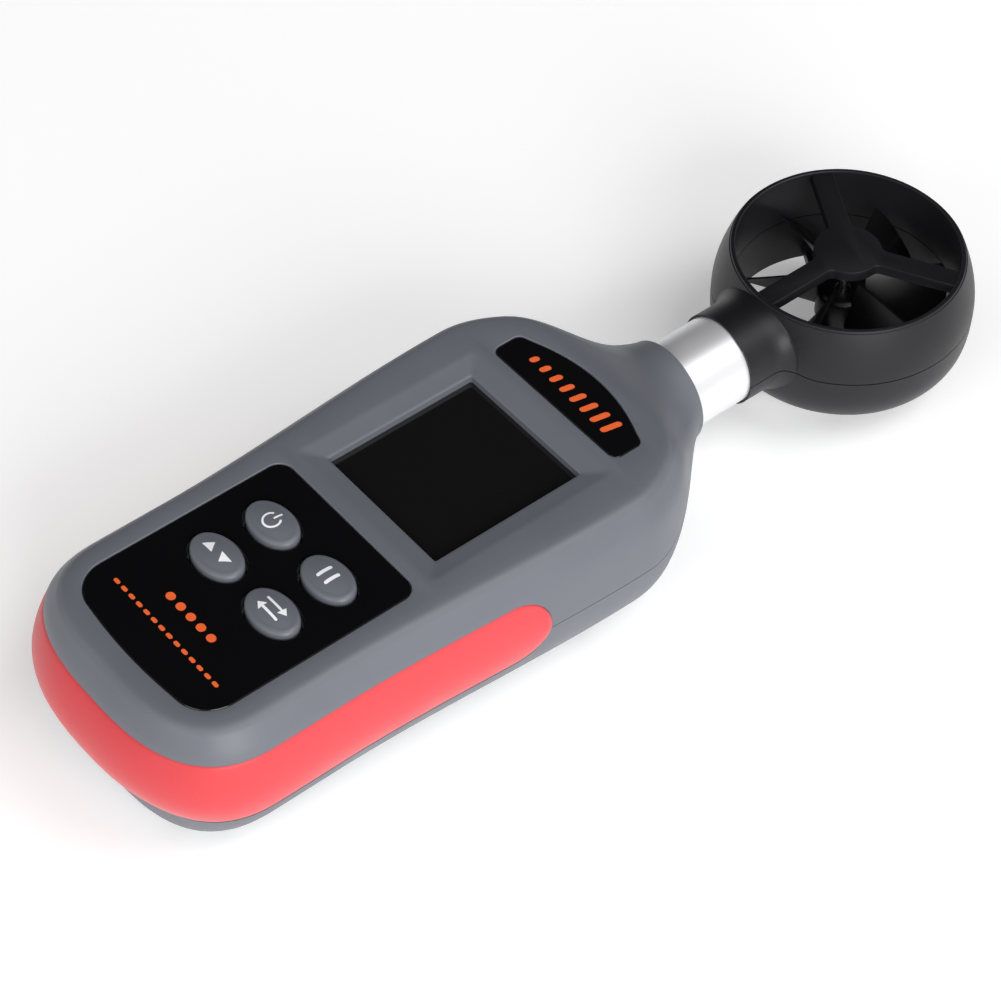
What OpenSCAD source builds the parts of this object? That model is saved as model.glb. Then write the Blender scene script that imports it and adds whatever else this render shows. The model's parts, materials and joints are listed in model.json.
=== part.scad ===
// Handheld weather meter: a vane head on a short metal neck, and a two-part body with a
// display, four keys, a soft grip round its foot and a battery bay in its back.
// Millimetres. +X is right, +Y is towards the vane, +Z comes out of the face. The back lies
// on z = 0, and the origin is under the middle of the whole length.

/* [Body] */
// Half width across the shoulders
shoulder_half_w = 24.7; // [24.4:0.1:25.2]
// Half width at the foot end, where the corners begin
foot_half_w = 22.3; // [22.1:0.1:22.8]
// Height of the face above the back
face_z = 26.5; // [26.3:0.1:27]
// Height of the parting line, which is also the height of the neck's axis
split_z = 14.8; // [14.6:0.1:15]
// Wall thickness of both shells
wall = 2.2; // [2:0.1:2.4]
// How far the side wall leans in as it rounds into the back
back_round_side = 12.5; // [11:0.5:13]
// The same at the foot end
back_round_foot = 8; // [7:0.5:9]

/* [Grip] */
// Lower edge of the soft grip
grip_low_z = 10; // [9.6:0.1:10.4]
// Upper edge of the soft grip
grip_high_z = 22; // [21.6:0.1:22.1]
// How far the grip's arms reach towards the vane
grip_tip_y = -18.2; // [-20:0.2:-17]
// Depth of the grip's seat in the shells
grip_seat = 1.15; // [1:0.05:1.2]
// How proud the grip stands at the sides
grip_proud_side = 0.5; // [0.3:0.1:0.6]
// How proud the grip stands at the foot
grip_proud_foot = 1.4; // [1.2:0.1:1.4]

/* [Face] */
// Half width of the display opening
window_half_w = 12.0; // [11.8:0.1:12.2]
// Foot edge of the display opening
window_low_y = -29.0; // [-29.2:0.1:-28.8]
// Head edge of the display opening
window_high_y = -3.3; // [-3.5:0.1:-3.1]
// Width of the sloping frame round the display
bezel_w = 3.2; // [3:0.1:3.3]
// Depth of the sloping frame
bezel_depth = 1.1; // [0.9:0.1:1.3]
// Half width of the key panel
panel_half_w = 15.3; // [15.1:0.1:15.4]
// Foot edge of the key panel
panel_low_y = -71.0; // [-71.2:0.1:-70.8]
// Head edge of the key panel
panel_high_y = -34.3; // [-34.4:0.1:-34.1]
// Half distance between the two columns of keys
key_half_x = 6.25; // [6.2:0.05:6.3]
// Height of the foot row of keys along the body
key_row_low_y = -52.0; // [-52.2:0.1:-51.8]
// Height of the head row of keys along the body
key_row_high_y = -42.7; // [-42.9:0.1:-42.5]
// Half length of an oval key, across the body
key_half_l = 4.8; // [4.7:0.05:4.9]
// Half height of an oval key, along the body
key_half_h = 3.25; // [3.15:0.05:3.3]
// Travel of a key
key_travel = 0.8; // [0.6:0.1:0.8]

/* [Neck] */
// Outer radius of the metal neck tube
tube_r = 7.0; // [6.9:0.05:7.05]
// Wall of the neck tube
tube_wall = 0.8; // [0.7:0.1:1]
// Where the body's collar ends
collar_y = 24; // [23.8:0.1:24.2]
// Where the head's collar begins
head_collar_y = 34.3; // [34.1:0.1:34.5]
// Radius of both plastic collars
collar_r = 8.2; // [8.1:0.05:8.3]

/* [Vane head] */
// Distance from the origin to the vane's axis
vane_y = 59.95; // [59.8:0.05:60]
// Radius of the air duct
duct_r = 17.0; // [16.9:0.05:17.1]
// Largest radius of the ring
ring_r = 20.05; // [20:0.05:20.2]
// Width of the thin lip round each mouth of the duct
lip_w = 0.8; // [0.7:0.05:0.9]
// Height of the ring's middle, where its two halves meet
ring_mid_z = 13.6; // [13.5:0.1:13.7]
// Half of the ring's height
ring_half_h = 8.85; // [8.8:0.05:8.9]
// Number of blades on the vane wheel
blade_count = 6; // [5:1:7]
// Radius of the vane wheel
wheel_r = 15.7; // [15.4:0.1:15.8]
// Height of the blades
blade_h = 8; // [7.5:0.1:8.2]
// Turn of a blade from its lower to its upper edge, in degrees
blade_turn = 30; // [25:1:35]

/* [Batteries] */
// Radius of one AAA cell
cell_r = 5.25; // [5.2:0.01:5.25]
// Length of one AAA cell
cell_l = 44.5; // [44.3:0.1:44.5]

/* [Hidden] */
$fn = 48;
eps = 0.01;

grey = [0.38, 0.39, 0.42];
coral = [0.91, 0.31, 0.34];
black = [0.09, 0.09, 0.10];
steel = [0.75, 0.76, 0.78];
gold = [0.85, 0.68, 0.35];
board_green = [0.10, 0.35, 0.20];

// ---- Body outline --------------------------------------------------------------------
foot_y = -78.7;
corner_y = -62;
corner_power = 2.6;
waist_start_y = -52;
waist_end_y = -1;
neck_start_y = -1;
collar_flat_y = 21;

function smooth(u) = let (c = min(1, max(0, u))) c * c * (3 - 2 * c);
function mix(a, b, u) = a + (b - a) * u;

// Half width of the shells along the body, from the corners to the collar
function half_width(y) =
    y > neck_start_y
    ? mix(collar_r, shoulder_half_w, smooth(pow((collar_y - y) / (collar_y - neck_start_y), 0.75)))
    : mix(foot_half_w, shoulder_half_w, smooth((y - waist_start_y) / (waist_end_y - waist_start_y)));

// How far a section has turned from the body's flat form into the round collar
function roundness(y) = smooth((y - 8) / (collar_flat_y - 8));
function face_height(y) = mix(face_z - split_z, collar_r, smooth((y - 10) / (collar_flat_y - 10)));
function back_depth(y) = mix(split_z, collar_r, smooth((y - 3) / (collar_flat_y - 3)));

// A rib runs in from the outline to the middle line. It is held as
// [outline point, middle point, place along the body, 0 at the side to 1 at the foot]
side_stations = [24, 22, 20, 17, 14, 11, 8, 4, 0, -6, -14, -24, -36, -48, -62];
corner_steps = 12;
function side_rib(y, side) = [[side * half_width(y), y], [0, y], y, 0];
function corner_rib(a) =
    [[sign(cos(a)) * foot_half_w * pow(abs(cos(a)), 2 / corner_power),
      corner_y + (foot_y - corner_y) * pow(sin(a), 2 / corner_power)],
     [0, corner_y], corner_y, pow(sin(a), 2)];
function ribs_from(first) = concat(
    [for (y = side_stations) if (y <= first) side_rib(y, 1)],
    [for (i = [1:corner_steps - 1]) corner_rib(180 * i / corner_steps)],
    [for (i = [len(side_stations) - 1:-1:0]) if (side_stations[i] <= first)
        side_rib(side_stations[i], -1)]
);

// Profile of a rib as [inset, height above the split], flat form and round form
face_profile = [[0, 0], [0.17, 0.23], [0.86, 0.64], [2.6, 0.88], [3.4, 0.953], [4.2, 0.987], [5.4, 1]];
face_angles = [0, 22, 40, 48, 58, 66, 74, 90];
back_steps = 7;

function rib_point(rib, inset, z) = let (
    run = norm(rib[0] - rib[1]),
    at = inset > run - eps ? rib[1] : rib[0] + (rib[1] - rib[0]) * inset / run
) [at[0], at[1], z];

// thin is the distance in from the outside, drop is how far the solid runs past the split
function face_points(rib, thin, drop) = let (
    run = norm(rib[0] - rib[1]), b = roundness(rib[2]), high = face_height(rib[2]) - thin
) [for (k = [0:len(face_profile)])
    let (
        flat_d = k < len(face_profile) ? thin + face_profile[k][0] : run,
        flat_z = high * (k < len(face_profile) ? face_profile[k][1] : 1),
        round_d = thin + (run - thin) * (1 - cos(face_angles[k])),
        round_z = high * sin(face_angles[k])
    ) rib_point(rib, mix(flat_d, round_d, b), split_z + (k == 0 ? -drop : mix(flat_z, round_z, b)))];

function side_reach(rib) = mix(back_round_side, back_round_foot, rib[3]);

function back_points(rib, thin, drop) = let (
    run = norm(rib[0] - rib[1]),
    deep = back_depth(rib[2]) - thin,
    reach = mix(side_reach(rib), run, roundness(rib[2])) - thin
) [for (k = [0:back_steps])
    let (
        a = 90 * k / (back_steps - 1),
        b = 90 * k / back_steps,
        last = k == back_steps,
        flat_d = last ? run : thin + min(reach, run - thin) * (1 - cos(a)),
        flat_z = last ? deep : deep * sin(a),
        turn = roundness(rib[2])
    ) rib_point(rib, mix(flat_d, thin + (run - thin) * (1 - cos(b)), turn),
        split_z - (k == 0 ? -drop : mix(flat_z, deep * sin(b), turn)))];

// Closed solid through a row of ribs, closed by a flat face at its first points
module rib_solid(rows, up) {
    n = len(rows);
    k = len(rows[0]);
    points = [for (row = rows) for (p = row) p];
    quads = [for (i = [0:n - 2]) for (j = [0:k - 2])
        for (t = [[[i, j], [i + 1, j], [i + 1, j + 1]], [[i, j], [i + 1, j + 1], [i, j + 1]]])
        [for (c = t) c[0] * k + c[1]]];
    solid = [for (t = quads)
        if (points[t[0]] != points[t[1]] && points[t[1]] != points[t[2]] && points[t[2]] != points[t[0]])
        t];
    base = [for (i = [n - 1:-1:0]) i * k];
    // The end face is a fan from the middle line, as its side points lie in one straight line
    far = (n - 1) * k;
    end = concat(
        [for (j = [k - 3:-1:0]) [k - 1, far + j + 1, far + j]],
        [[k - 1, far, 0]],
        [for (j = [0:k - 3]) [k - 1, j, j + 1]]
    );
    faces = concat(solid, [base], end);
    polyhedron(points, up ? faces : [for (f = faces) [for (j = [len(f) - 1:-1:0]) f[j]]]);
}

module face_form(thin = 0, first = collar_y + 1, drop = 0) {
    rib_solid([for (rib = ribs_from(first)) face_points(rib, thin, drop)], true);
}

module back_form(thin = 0, first = collar_y + 1, drop = 0) {
    rib_solid([for (rib = ribs_from(first)) back_points(rib, thin, drop)], false);
}

// ---- Soft grip -----------------------------------------------------------------------
grip_mid_z = (grip_low_z + grip_high_z) / 2;
grip_half_z = (grip_high_z - grip_low_z) / 2;
grip_tip_steps = [0, 1, 2.5, 4.2];
grip_steps = 5;
grip_stations = concat([for (s = grip_tip_steps) grip_tip_y - s],
    [for (y = [grip_tip_y - grip_half_z, -32, -40, -48, corner_y]) y]);

// Half height of the grip's band, which ends in a round tip
function band_half(y) = let (s = min(grip_half_z, grip_tip_y + tip_gap - y))
    sqrt(pow(grip_half_z, 2) - pow(grip_half_z - s, 2));

function grip_ribs() = concat(
    [for (y = grip_stations) side_rib(y, 1)],
    [for (i = [1:corner_steps - 1]) corner_rib(180 * i / corner_steps)],
    [for (i = [len(grip_stations) - 1:-1:0]) side_rib(grip_stations[i], -1)]
);

// How far in from the outline the shells' side lies at a height. Above the split it leans in
// a little, and below it rounds into the back.
side_lean = 0.75;
side_lean_h = 7.2;
function shell_inset(rib, z) = z > split_z
    ? side_lean * pow((z - split_z) / side_lean_h, 1.5)
    : side_reach(rib) * (1 - sqrt(1 - pow((split_z - z) / split_z, 2)));

// A closed section of the band at one rib: out along the bulged face and back in the seat
function grip_section(rib) = let (
    half = band_half(rib[2]),
    proud = mix(grip_proud_side, grip_proud_foot, rib[3])
) concat(
    [for (k = [0:grip_steps]) let (u = -1 + 2 * k / grip_steps, z = grip_mid_z + half * u)
        grip_point(rib, shell_inset(rib, z) - proud * (1 - u * u), z)],
    [grip_point(rib, grip_seat, grip_mid_z + half), grip_point(rib, grip_seat, grip_mid_z - half)]
);
function grip_point(rib, inset, z) =
    let (at = rib[0] + (rib[1] - rib[0]) * inset / norm(rib[0] - rib[1])) [at[0], at[1], z];

// The seat is cut by flat planes and a round tip, down to one inset from the outline
tip_gap = 0.15;
module grip_seat_cut() {
    tip_mid_y = grip_tip_y + tip_gap - grip_half_z;
    low_y = foot_y - 5;
    ribs = concat([side_rib(grip_tip_y + 2, 1)], grip_ribs(), [side_rib(grip_tip_y + 2, -1)]);
    difference() {
        rotate([90, 0, 90]) translate([0, 0, -30]) linear_extrude(60) {
            polygon([
                [tip_mid_y, grip_low_z], [tip_mid_y, grip_high_z],
                [low_y, grip_high_z], [low_y, grip_low_z]
            ]);
            translate([tip_mid_y, grip_mid_z]) circle(r = grip_half_z);
        }
        translate([0, 0, grip_low_z - 4]) linear_extrude(2 * grip_half_z + 5)
            polygon([for (rib = ribs) let (p = grip_point(rib, grip_seat, 0)) [p[0], p[1]]]);
    }
}

module bumper_grip() {
    rows = [for (rib = grip_ribs()) grip_section(rib)];
    n = len(rows);
    k = len(rows[0]);
    walls = [for (i = [0:n - 2]) for (j = [0:k - 1])
        for (t = [[[i, j], [i + 1, (j + 1) % k], [i + 1, j]], [[i, j], [i, (j + 1) % k], [i + 1, (j + 1) % k]]])
        [for (c = t) c[0] * k + c[1]]];
    first = [for (j = [k - 1:-1:0]) j];
    last = [for (j = [0:k - 1]) (n - 1) * k + j];
    color(coral) polyhedron([for (row = rows) for (p = row) p],
        [for (f = concat(walls, [first], [last])) [for (j = [len(f) - 1:-1:0]) f[j]]]);
}

// ---- Plan shapes on the face ---------------------------------------------------------
glass_top_z = 24.5;
panel_t = 0.5;
badge_t = 0.5;
badge_low_y = 1.6;
badge_high_y = 7.2;
badge_arch = 2.7;
badge_half_w = 13.6;
key_gap = 0.35;
key_places = [
    [-key_half_x, key_row_high_y], [key_half_x, key_row_high_y],
    [-key_half_x, key_row_low_y], [key_half_x, key_row_low_y]
];

module oval(grow) {
    polygon([for (a = [0:12:348]) [(key_half_l + grow) * cos(a), (key_half_h + grow) * sin(a)]]);
}

module key_ovals(grow) {
    for (p = key_places) translate(p) oval(grow);
}

// Rounded corner of an outline: points of an arc about c
function arc(c, r, from, to, step = 15) = [for (a = [from:step:to]) c + r * [cos(a), sin(a)]];

module panel_plan(grow = 0) {
    w = panel_half_w + grow;
    low = panel_low_y - grow;
    high = panel_high_y + grow;
    foot_r = 5.5;
    head_r = 2.5;
    bow = 0.6;
    polygon(concat(
        arc([w - head_r, high - head_r], head_r, 0, 90),
        arc([head_r - w, high - head_r], head_r, 90, 180),
        arc([foot_r - w, low + bow + foot_r], foot_r, 180, 260),
        [[0, low]],
        arc([w - foot_r, low + bow + foot_r], foot_r, 280, 360)
    ));
}

module badge_plan(grow = 0) {
    w = badge_half_w + grow;
    low = badge_low_y - grow;
    high = badge_high_y + grow;
    r = 1.5;
    polygon(concat(
        [for (x = [-w + r:(w - r) / 7:w - r]) [-x, high + badge_arch * (1 - pow(x / (w - r), 2))]],
        arc([r - w, high - r], r, 120, 180),
        arc([r - w, low + r], r, 180, 270),
        arc([w - r, low + r], r, 270, 360),
        arc([w - r, high - r], r, 0, 60)
    ));
}

// ---- Screws and bosses ---------------------------------------------------------------
case_screw_places = [[-10, -71.8], [10, -71.8], [-18.6, -8], [18.6, -8]];
case_screw_head_z = 9.2;
case_screw_r = 1.1;
case_head_r = 1.7;
pilot_r = 0.9;
boss_r = 2.3;
pcb_screw_places = [[-14.5, -66], [14.5, -66], [-14.6, 1], [14.6, 1]];
pcb_low_z = 18.0;
pcb_t = 1.6;
pcb_high_z = pcb_low_z + pcb_t;
pcb_boss_r = 1.9;
pcb_pilot_r = 0.8;
inner_face_z = face_z - wall;

// Pan head at the low end, shank up from it
module screw(head_z, head_r, head_h, shank_r, tip_z) {
    difference() {
        union() {
            translate([0, 0, head_z]) cylinder(r = head_r, h = head_h);
            translate([0, 0, head_z]) cylinder(r = shank_r, h = tip_z - head_z - shank_r);
            translate([0, 0, tip_z - shank_r]) cylinder(r1 = shank_r, r2 = shank_r * 0.4, h = shank_r);
        }
        for (a = [0, 90]) rotate(a) translate([0, 0, head_z + head_h * 0.25])
            cube([head_r * 1.1, 0.45, head_h * 0.6], center = true);
    }
}

module case_screws() {
    color(steel) for (p = case_screw_places) translate(p)
        screw(case_screw_head_z - 1.4, case_head_r - 0.15, 1.4, pilot_r, split_z + 6.5);
}

module pcb_screws() {
    color(steel) for (p = pcb_screw_places) translate(p)
        screw(pcb_low_z - 1.0, 1.6, 1.0, pcb_pilot_r, pcb_high_z + 3.2);
}

// ---- Shells --------------------------------------------------------------------------
tube_inner_y = 9;
flange_r = 8.0;
flange_t = 1.2;
cavity_first_y = 4;

module along_y(from, to) {
    translate([0, from, split_z]) rotate([-90, 0, 0]) linear_extrude(to - from) children();
}

module neck_bore() {
    along_y(tube_inner_y - 3, collar_y + 1) circle(r = tube_r + 0.03);
    along_y(cavity_first_y - 1, tube_inner_y + flange_t + 0.15) circle(r = flange_r + 0.15);
}

module sloping_frame_cut() {
    mid_y = (window_low_y + window_high_y) / 2;
    half_l = (window_high_y - window_low_y) / 2;
    lean = (bezel_w + 0.3) / (bezel_depth + 0.3);
    inner = [window_half_w, half_l];
    outer = [window_half_w + bezel_w, half_l + bezel_w];
    over = outer + [0.3, 0.3] * lean;
    hull() {
        translate([0, mid_y, face_z - bezel_depth]) linear_extrude(eps) square(2 * inner, center = true);
        translate([0, mid_y, face_z + 0.3]) linear_extrude(eps) square(2 * over, center = true);
    }
}

module window_plan(grow = 0) {
    translate([-window_half_w - grow, window_low_y - grow])
        square([2 * (window_half_w + grow), window_high_y - window_low_y + 2 * grow]);
}

module front_shell() {
    color(grey) difference() {
        face_form();
        difference() {
            face_form(wall, cavity_first_y, 1);
            for (p = case_screw_places) translate([p[0], p[1], split_z - 1]) cylinder(r = boss_r, h = 12);
            for (p = pcb_screw_places) translate([p[0], p[1], pcb_high_z]) cylinder(r = pcb_boss_r, h = 6);
        }
        grip_seat_cut();
        translate([0, 0, face_z - panel_t]) linear_extrude(2) panel_plan();
        translate([0, 0, face_z - badge_t]) linear_extrude(2) badge_plan();
        sloping_frame_cut();
        translate([0, 0, glass_top_z - 1.5]) linear_extrude(5) window_plan();
        translate([0, 0, inner_face_z - 1]) linear_extrude(glass_top_z - inner_face_z + 1) window_plan(2);
        translate([0, 0, inner_face_z - 1]) linear_extrude(5) key_ovals(key_gap);
        for (p = case_screw_places) translate([p[0], p[1], split_z - 1]) cylinder(r = pilot_r, h = 8);
        for (p = pcb_screw_places) translate([p[0], p[1], pcb_high_z - 1]) cylinder(r = pcb_pilot_r, h = 4.5);
        neck_bore();
    }
}

// ---- Battery bay ---------------------------------------------------------------------
bay_half_w = 16.1;
bay_low_y = -68.8;
bay_high_y = -19.6;
bay_roof_z = 12.9;
bay_wall = 1.2;
cell_z = 7.3;
cell_pitch = 10.6;
contact_t = 0.4;
bay_half_l = (bay_high_y - bay_low_y) / 2;
spring_l = 2 * (bay_half_l - contact_t) - cell_l;
nub_r = 1.9;
nub_h = 1.0;
door_half_w = 16.0;
door_low_y = -67.2;
door_high_y = -21.0;
door_gap = 0.25;
door_wall = 1.4;
door_lug_t = 1.0;
door_hinge_y = door_low_y - door_gap;
finger_notch_r = 4.5;

// The middle cell faces the other way
module each_cell() {
    mid_y = (bay_low_y + bay_high_y) / 2;
    for (i = [-1:1]) translate([i * cell_pitch, mid_y, cell_z]) rotate(i == 0 ? 180 : 0) children();
}

module door_plan(grow = 0) {
    r = 3;
    x = door_half_w + grow;
    polygon(concat(
        arc([x - r, door_high_y + grow - r], r, 0, 90),
        arc([r - x, door_high_y + grow - r], r, 90, 180),
        [[-x, door_low_y - grow], [x, door_low_y - grow]]
    ));
}

module rear_shell() {
    color(grey) difference() {
        back_form();
        difference() {
            back_form(wall - 0.4, cavity_first_y, 1);
            // Walls and roof of the battery bay
            translate([-bay_half_w - bay_wall, bay_low_y - bay_wall, -1])
                cube([2 * (bay_half_w + bay_wall), bay_high_y - bay_low_y + 2 * bay_wall, bay_roof_z + bay_wall + 1]);
            for (p = case_screw_places) translate([p[0], p[1], 0]) cylinder(r = boss_r, h = split_z);
        }
        translate([-bay_half_w, bay_low_y, door_wall + 0.3])
            cube([2 * bay_half_w, bay_high_y - bay_low_y, bay_roof_z - door_wall - 0.3]);
        translate([0, 0, -1]) linear_extrude(cell_z + 1) door_plan(door_gap);
        translate([0, door_high_y, -finger_notch_r * 0.8]) sphere(r = finger_notch_r);
        grip_seat_cut();
        for (p = case_screw_places) translate([p[0], p[1], -1]) {
            cylinder(r = case_screw_r, h = split_z + 2);
            cylinder(r = case_head_r, h = case_screw_head_z + 1);
        }
        neck_bore();
    }
}

module battery_door() {
    color(grey) {
        intersection() {
            difference() {
                back_form();
                back_form(door_wall, cavity_first_y, 1);
            }
            translate([0, 0, -1]) linear_extrude(cell_z) door_plan();
        }
        // Two lugs that hook inside the foot edge of the opening
        for (x = [-9, 9]) translate([x - 2.5, door_low_y - 1.3, door_wall + 0.5])
            cube([5, 3, door_lug_t]);
        for (x = [-9, 9]) translate([x - 2.5, door_low_y + 0.2, door_wall - 0.4])
            cube([5, 1.5, 1.2]);
    }
}

module battery_cells() {
    color("royalblue") each_cell() rotate([-90, 0, 0]) {
        translate([0, 0, -bay_half_l + contact_t + spring_l]) cylinder(r = cell_r, h = cell_l - nub_h);
        translate([0, 0, bay_half_l - contact_t - nub_h - eps]) cylinder(r = nub_r, h = nub_h + eps);
    }
}

// Flat spring plates at both ends of the bay
module battery_contacts() {
    w = 8;
    h = 8;
    color(gold) each_cell() for (y = [-bay_half_l, bay_half_l - contact_t])
        translate([-w / 2, y, -h / 2]) cube([w, contact_t, h]);
}

spring_turns = 3;
spring_wire_r = 0.35;
spring_sides = 6;
spring_steps = 12;

// A coil spring that narrows towards the cell, swept as one tube
module coil_spring(r_wide, r_narrow, l) {
    n = spring_turns * spring_steps;
    rings = [for (i = [0:n]) let (
        u = i / n, a = 360 * i / spring_steps, r = mix(r_wide, r_narrow, u),
        y = mix(spring_wire_r, l - spring_wire_r, u)
    ) [for (j = [0:spring_sides - 1]) let (
        b = 360 * j / spring_sides, out = r + spring_wire_r * cos(b)
    ) [out * cos(a), y + spring_wire_r * sin(b), out * sin(a)]]];
    polyhedron(
        [for (ring = rings) for (p = ring) p],
        concat(
            [for (i = [0:n - 1]) for (j = [0:spring_sides - 1]) let (k = (j + 1) % spring_sides)
                [(i + 1) * spring_sides + j, (i + 1) * spring_sides + k,
                 i * spring_sides + k, i * spring_sides + j]],
            [[for (j = [0:spring_sides - 1]) j]],
            [[for (j = [spring_sides - 1:-1:0]) n * spring_sides + j]]
        )
    );
}

module battery_springs() {
    color(steel) each_cell() translate([0, -bay_half_l + contact_t, 0]) coil_spring(3.4, 2.2, spring_l);
}

// ---- Display, keys and board ---------------------------------------------------------
lcd_low_y = window_low_y - 1.2;
lcd_high_y = window_high_y + 1.2;
lcd_half_w = window_half_w + 1.2;
lens_t = 1.2;
lens_low_z = glass_top_z - lens_t;
lcd_t = 2.0;
lcd_low_z = lens_low_z - 0.3 - lcd_t;
mat_web_low_z = inner_face_z - 1.0;
key_flange_low_z = pcb_high_z + key_travel + 0.2;
key_flange_t = 1.1;
key_top_z = face_z + 1.2;
tail_hole_r = 0.45;

module slab(x, low_y, high_y, low_z, high_z) {
    translate([-x, low_y, low_z]) cube([2 * x, high_y - low_y, high_z - low_z]);
}

module button_panel() {
    color(black) translate([0, 0, face_z - panel_t]) linear_extrude(panel_t - 0.1) difference() {
        panel_plan(-0.15);
        key_ovals(key_gap);
    }
}

module badge_plate() {
    color(black) translate([0, 0, face_z - badge_t]) linear_extrude(badge_t - 0.1) badge_plan(-0.15);
}

module display_window() {
    color(black) translate([0, 0, lens_low_z]) linear_extrude(lens_t) window_plan(1.8);
}

module lcd_glass() {
    color("darkslategray") slab(lcd_half_w, lcd_low_y, lcd_high_y, lcd_low_z, lcd_low_z + lcd_t);
}

module lcd_holder() {
    color("white") difference() {
        slab(lcd_half_w + 1, lcd_low_y - 1, lcd_high_y + 1, pcb_high_z, lcd_low_z + 1);
        slab(lcd_half_w, lcd_low_y, lcd_high_y, lcd_low_z, lcd_low_z + 2);
        for (y = [lcd_low_y + 0.6, lcd_high_y - 2.6])
            slab(lcd_half_w - 1.5, y, y + 2, pcb_high_z - 1, lcd_low_z + 1);
    }
}

module elastomer_connectors() {
    color("hotpink") for (y = [lcd_low_y + 0.7, lcd_high_y - 2.5])
        slab(lcd_half_w - 1.8, y, y + 1.8, pcb_high_z, lcd_low_z);
}

module main_pcb() {
    color(board_green) translate([0, 0, pcb_low_z]) linear_extrude(pcb_t) difference() {
        translate([-18.2, -71]) square([36.4, 74.4]);
        for (p = case_screw_places) translate(p) circle(r = boss_r + 0.5);
        for (p = pcb_screw_places) translate(p) circle(r = pcb_pilot_r + 0.2);
        for (x = [-18.2, 18.2]) translate([x, -71]) rotate(45) square(6.4, center = true);
    }
}

module controller_chip() {
    color(black) translate([2, -14, pcb_low_z - 1.6]) linear_extrude(1.6) square(10, center = true);
}

module crystal_can() {
    color(steel) translate([10.5, -16, pcb_low_z - 1.2]) rotate([-90, 0, 0]) cylinder(r = 1.2, h = 6);
}

module buzzer() {
    color(black) translate([-10, -9, pcb_low_z - 6]) difference() {
        cylinder(r = 5, h = 6);
        translate([0, 0, -1]) cylinder(r = 1, h = 1.8);
    }
}

module keypad_mat() {
    color("gainsboro") {
        difference() {
            slab(13.4, -58.5, -36.3, mat_web_low_z, inner_face_z);
            translate([0, 0, mat_web_low_z - 1]) linear_extrude(3) key_ovals(0.15);
        }
        // Skirt that stands the mat on the board
        difference() {
            slab(13.4, -58.5, -36.3, pcb_high_z, mat_web_low_z);
            slab(12.4, -57.5, -37.3, pcb_high_z - 1, mat_web_low_z + 1);
        }
    }
}

module key(p) {
    crown = 0.75;
    color([0.42, 0.43, 0.46]) translate([p[0], p[1], 0]) {
        translate([0, 0, key_flange_low_z]) linear_extrude(key_flange_t) oval(0.45);
        hull() {
            translate([0, 0, key_flange_low_z]) linear_extrude(key_top_z - crown - key_flange_low_z) oval(-0.1);
            translate([0, 0, key_top_z - crown * 0.35]) linear_extrude(eps) oval(-0.45);
            translate([0, 0, key_top_z - eps]) linear_extrude(eps) oval(-1.4);
        }
    }
}

module power_key() key(key_places[0]);
module hold_key() key(key_places[1]);
module minmax_key() key(key_places[2]);
module units_key() key(key_places[3]);

// ---- Neck tube and head --------------------------------------------------------------
tube_outer_y = 41;
head_bore_gap = 0.03;
guard_t = 1.7;
guard_top_z = ring_mid_z + ring_half_h - 0.15;
guard_low_z = ring_mid_z - ring_half_h + 0.9;
spoke_w = 3.4;
disc_r = 5.2;
rear_disc_r = 3.6;
spindle_r = 0.6;
bearing_r = 1.4;
bearing_t = 1.6;
blade_low_z = 9.6;
hub_r = 3.9;
hub_low_z = 9.0;
hub_high_z = 14.2;
blade_t = 0.7;
blade_phase = 88;
magnet_r = 2.9;
magnet_h = 2.0;
pivot_gap = 0.05;

module neck_tube() {
    color(steel) difference() {
        union() {
            along_y(tube_inner_y, tube_outer_y) circle(r = tube_r);
            along_y(tube_inner_y, tube_inner_y + flange_t) circle(r = flange_r);
        }
        along_y(tube_inner_y - 1, tube_outer_y + 1) circle(r = tube_r - tube_wall);
    }
}

// Barrel outline of the ring, from mouth to mouth
ring_steps = 12;
function barrel_r(u) = mix(ring_r, duct_r + lip_w, pow(abs(u), u > 0 ? 1.8 : 3.5));
module ring_solid() {
    translate([0, vane_y, ring_mid_z]) rotate_extrude($fn = 72) polygon(concat(
        [for (i = [0:ring_steps]) let (u = -1 + 2 * i / ring_steps) [barrel_r(u), ring_half_h * u]],
        [[0, ring_half_h], [0, -ring_half_h]]
    ));
}

// Neck between the tube and the ring. It is tube-sized, and swings out into the ring on one
// blend radius at its sides and another underneath. Its end lies inside the ring's wall.
head_neck_r = 7.4;
neck_blend_r = 4;
neck_blend_y = vane_y - sqrt(pow(ring_r + neck_blend_r, 2) - pow(head_neck_r + neck_blend_r, 2));
under_blend_r = 5;
under_blend_y = 37.9;
blend_end_y = 41.9;
neck_stations = [head_collar_y, under_blend_y, neck_blend_y, 39.8, 40.7, 41.4, blend_end_y, 44];
flare_sides = 32;
function swing(y, from, r) = let (run = max(0, min(y, blend_end_y) - from)) r - sqrt(r * r - run * run);
function neck_section(y) = let (
    w = head_neck_r + swing(y, neck_blend_y, neck_blend_r),
    under = head_neck_r + swing(y, under_blend_y, under_blend_r)
) [for (a = [0:360 / flare_sides:359])
    [w * cos(a), y, split_z + (sin(a) < 0 ? under : head_neck_r) * sin(a)]];

module neck_flare() {
    rows = [for (y = neck_stations) neck_section(y)];
    last = len(rows) - 1;
    n = flare_sides;
    polyhedron([for (row = rows) for (p = row) p], concat(
        [for (i = [0:last - 1]) for (j = [0:n - 1]) let (k = (j + 1) % n)
            for (t = [[i * n + j, i * n + k, (i + 1) * n + k], [i * n + j, (i + 1) * n + k, (i + 1) * n + j]]) t],
        [[for (j = [n - 1:-1:0]) j]],
        [[for (j = [0:n - 1]) last * n + j]]
    ));
}

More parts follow.
